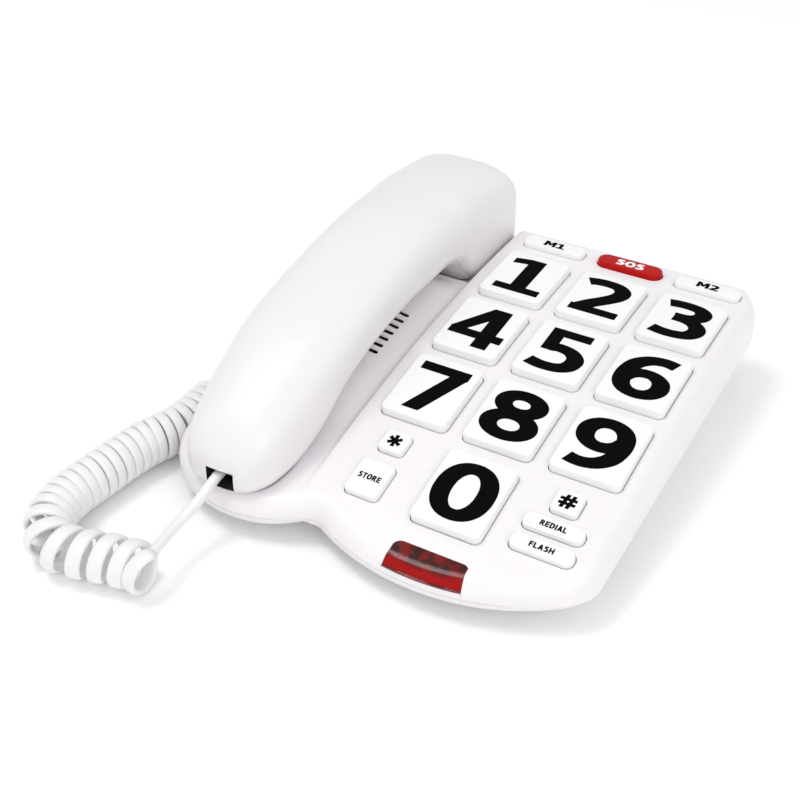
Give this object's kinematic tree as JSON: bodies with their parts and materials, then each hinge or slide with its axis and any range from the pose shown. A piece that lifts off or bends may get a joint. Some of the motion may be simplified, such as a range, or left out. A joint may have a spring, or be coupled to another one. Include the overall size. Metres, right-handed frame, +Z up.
{
  "type": "corded desk telephone",
  "caption": "Corded desk telephone with a sloped base, extra large number keys, a red call light and a handset on a coiled cord.",
  "frame": {"origin": "centre of the bounding box of the telephone without its cord, at the level of the feet", "axes": "+X to the user's right, +Y to the back of the telephone, +Z up"},
  "size_m": [0.2094, 0.2632, 0.0775],
  "materials": {
    "white_plastic": "satin moulded plastic",
    "underside_plastic": "fine textured plastic",
    "key_plastic": "satin",
    "red_plastic": "satin",
    "red_lens": "clear tinted plastic",
    "red_led": "clear tinted",
    "circuit_board": "solder mask",
    "silicone_rubber": "matt",
    "black_plastic": "matt",
    "steel": "plain",
    "screw_steel": "zinc plated",
    "rubber_foot": "matt",
    "clear_plug": "clear moulded",
    "cord_jacket": "smooth flexible vinyl"
  },
  "bodies": {
    "base": {"base_top_case": "white_plastic", "base_bottom_case": "underside_plastic", "indicator_lens": "red_lens", "led_board": "circuit_board", "indicator_leds": "red_led", "main_pcb": "circuit_board", "key_membrane": "silicone_rubber", "ringer_speaker": "black_plastic", "hook_switch": "black_plastic", "base_cord_jack": "black_plastic", "line_jack": "black_plastic", "ballast_plate": "steel", "rubber_feet": "rubber_foot", "base_screws": "screw_steel", "base_cord_plug": "clear_plug", "curly_cord": "cord_jacket", "cord_lead_base": "cord_jacket"},
    "handset": {"handset_back_shell": "white_plastic", "handset_front_shell": "white_plastic", "earpiece_receiver": "black_plastic", "microphone": "black_plastic", "handset_weight": "steel", "handset_jack": "black_plastic", "handset_screws": "screw_steel", "handset_cord_plug": "clear_plug", "cord_lead_handset": "cord_jacket"},
    "hook_plunger": {"hook_plunger": "white_plastic"},
    "key_1": {"key_1": "key_plastic"},
    "key_2": {"key_2": "key_plastic"},
    "key_3": {"key_3": "key_plastic"},
    "key_4": {"key_4": "key_plastic"},
    "key_5": {"key_5": "key_plastic"},
    "key_6": {"key_6": "key_plastic"},
    "key_7": {"key_7": "key_plastic"},
    "key_8": {"key_8": "key_plastic"},
    "key_9": {"key_9": "key_plastic"},
    "key_0": {"key_0": "key_plastic"},
    "key_star": {"key_star": "key_plastic"},
    "key_hash": {"key_hash": "key_plastic"},
    "key_m1": {"key_m1": "key_plastic"},
    "key_sos": {"key_sos": "red_plastic"},
    "key_m2": {"key_m2": "key_plastic"},
    "key_store": {"key_store": "key_plastic"},
    "key_redial": {"key_redial": "key_plastic"},
    "key_flash": {"key_flash": "key_plastic"}
  },
  "joints": [
    {"name": "key_1_press", "type": "slide", "parent": "base", "child": "key_1", "axis": [0, 0.0312, -0.9995], "range_m": [0, 0.0015], "stiffness_N_per_m": 400},
    {"name": "key_2_press", "type": "slide", "parent": "base", "child": "key_2", "axis": [0, 0.0312, -0.9995], "range_m": [0, 0.0015], "stiffness_N_per_m": 400},
    {"name": "key_3_press", "type": "slide", "parent": "base", "child": "key_3", "axis": [0, 0.0312, -0.9995], "range_m": [0, 0.0015], "stiffness_N_per_m": 400},
    {"name": "key_4_press", "type": "slide", "parent": "base", "child": "key_4", "axis": [0, 0.0955, -0.9954], "range_m": [0, 0.0015], "stiffness_N_per_m": 400},
    {"name": "key_5_press", "type": "slide", "parent": "base", "child": "key_5", "axis": [0, 0.0955, -0.9954], "range_m": [0, 0.0015], "stiffness_N_per_m": 400},
    {"name": "key_6_press", "type": "slide", "parent": "base", "child": "key_6", "axis": [0, 0.0955, -0.9954], "range_m": [0, 0.0015], "stiffness_N_per_m": 400},
    {"name": "key_7_press", "type": "slide", "parent": "base", "child": "key_7", "axis": [0, 0.1595, -0.9872], "range_m": [0, 0.0015], "stiffness_N_per_m": 400},
    {"name": "key_8_press", "type": "slide", "parent": "base", "child": "key_8", "axis": [0, 0.1595, -0.9872], "range_m": [0, 0.0015], "stiffness_N_per_m": 400},
    {"name": "key_9_press", "type": "slide", "parent": "base", "child": "key_9", "axis": [0, 0.1595, -0.9872], "range_m": [0, 0.0015], "stiffness_N_per_m": 400},
    {"name": "key_0_press", "type": "slide", "parent": "base", "child": "key_0", "axis": [0, 0.2227, -0.9749], "range_m": [0, 0.0015], "stiffness_N_per_m": 400},
    {"name": "key_star_press", "type": "slide", "parent": "base", "child": "key_star", "axis": [0, 0.2051, -0.9787], "range_m": [0, 0.0015], "stiffness_N_per_m": 400},
    {"name": "key_hash_press", "type": "slide", "parent": "base", "child": "key_hash", "axis": [0, 0.2051, -0.9787], "range_m": [0, 0.0015], "stiffness_N_per_m": 400},
    {"name": "key_m1_press", "type": "slide", "parent": "base", "child": "key_m1", "axis": [0, -0.0174, -0.9998], "range_m": [0, 0.0015], "stiffness_N_per_m": 400},
    {"name": "key_sos_press", "type": "slide", "parent": "base", "child": "key_sos", "axis": [0, -0.0185, -0.9998], "range_m": [0, 0.0015], "stiffness_N_per_m": 400},
    {"name": "key_m2_press", "type": "slide", "parent": "base", "child": "key_m2", "axis": [0, -0.0174, -0.9998], "range_m": [0, 0.0015], "stiffness_N_per_m": 400},
    {"name": "key_store_press", "type": "slide", "parent": "base", "child": "key_store", "axis": [0, 0.2343, -0.9722], "range_m": [0, 0.0015], "stiffness_N_per_m": 400},
    {"name": "key_redial_press", "type": "slide", "parent": "base", "child": "key_redial", "axis": [0, 0.2235, -0.9747], "range_m": [0, 0.0015], "stiffness_N_per_m": 400},
    {"name": "key_flash_press", "type": "slide", "parent": "base", "child": "key_flash", "axis": [0, 0.2384, -0.9712], "range_m": [0, 0.0015], "stiffness_N_per_m": 400},
    {"name": "handset_lift", "type": "slide", "parent": "base", "child": "handset", "axis": [0, 0, 1], "range_m": [0, 0.12]},
    {"name": "hook_rise", "type": "slide", "parent": "base", "child": "hook_plunger", "axis": [0, 0, 1], "range_m": [0, 0.004]}
  ],
  "couplings": [
    {"joint": "hook_rise", "follows": "handset_lift", "ratio": 0.033333}
  ]
}
